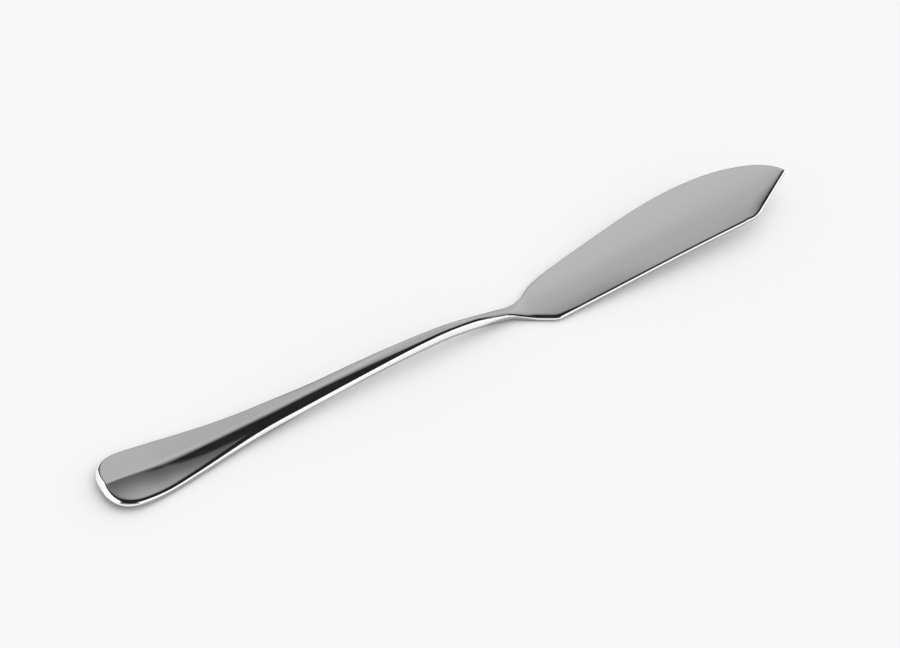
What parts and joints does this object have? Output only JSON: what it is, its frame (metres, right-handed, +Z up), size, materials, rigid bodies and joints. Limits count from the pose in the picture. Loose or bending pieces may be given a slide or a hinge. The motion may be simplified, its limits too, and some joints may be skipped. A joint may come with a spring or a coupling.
{
  "type": "fish knife",
  "caption": "Polished steel table fish knife: ridged spatula handle, slender arched neck and thin blunt blade with curved belly, straight back and raised point, for parting cooked fish.",
  "frame": {"origin": "on the table, under the middle of the knife's length and width as it lies", "axes": "+X from the handle's end to the blade's point, +Y from the blade's straight back to its belly, +Z up from the table"},
  "size_m": [0.205, 0.0222, 0.0088],
  "materials": {
    "steel": "mirror polished stainless steel"
  },
  "bodies": {
    "root": {"handle": "steel", "neck": "steel", "blade": "steel"}
  },
  "joints": []
}
